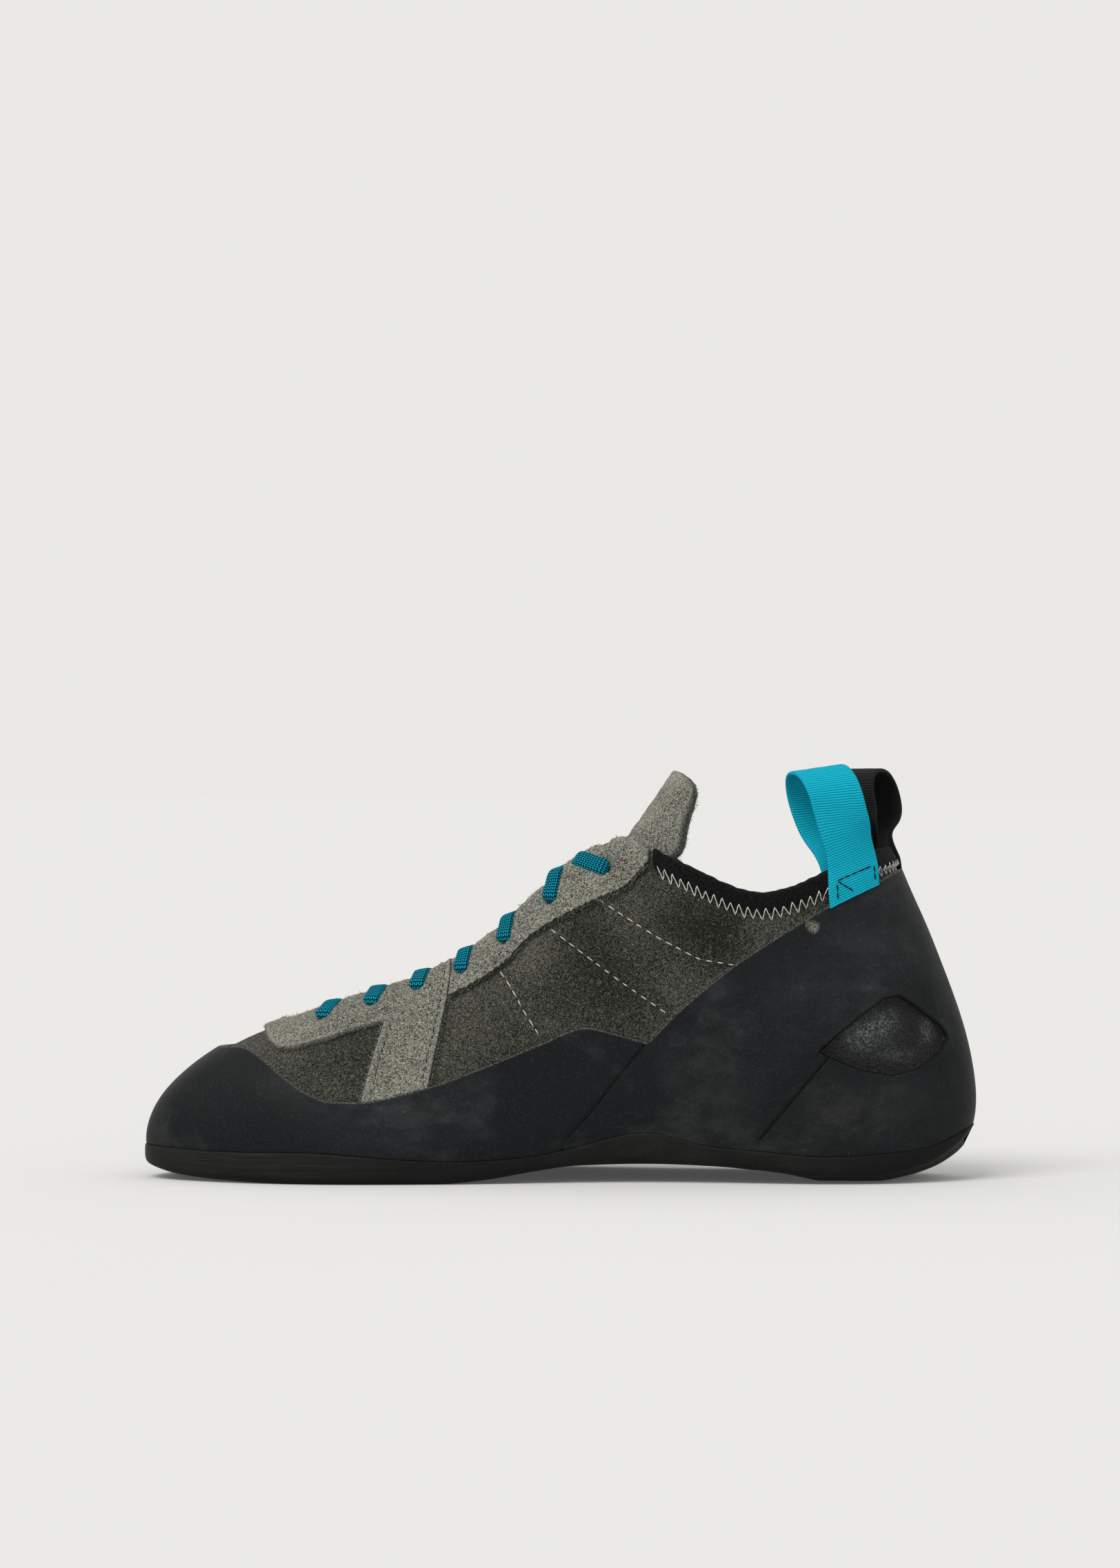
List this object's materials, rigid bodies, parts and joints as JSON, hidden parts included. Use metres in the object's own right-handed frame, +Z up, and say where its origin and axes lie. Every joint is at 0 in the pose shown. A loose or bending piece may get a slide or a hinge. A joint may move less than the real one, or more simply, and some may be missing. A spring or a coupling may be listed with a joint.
{
  "type": "climbing shoe",
  "caption": "Low lace-up climbing shoe for the right foot: suede upper, thin rubber sole, rubber toe and heel rands, criss-cross lace, tongue and webbing pull loops at the heel.",
  "frame": {"origin": "middle of the shoe's bounding box on the floor it stands on", "axes": "+X from toe to heel, +Y from the inner side of the foot to the outer side, +Z up"},
  "size_m": [0.2626, 0.0939, 0.1307],
  "materials": {
    "rubber": "matte, dusty",
    "suede_dark": "napped suede",
    "suede_pale": "napped suede",
    "binding": "soft",
    "web_blue": "ribbed webbing",
    "web_black": "ribbed webbing",
    "lace": "braided",
    "footbed": "worn, matte"
  },
  "bodies": {
    "root": {"outsole": "rubber", "insole": "footbed", "upper": "suede_dark", "toe_rand": "rubber", "heel_rand": "rubber", "eyestay": "suede_pale", "tongue": "suede_pale", "collar_binding": "binding", "pull_loop_medial": "web_blue", "pull_loop_lateral": "web_black", "lace_cross_1": "lace", "lace_cross_2": "lace", "lace_cross_3": "lace", "lace_cross_4": "lace", "lace_cross_5": "lace", "lace_cross_6": "lace"}
  },
  "joints": []
}
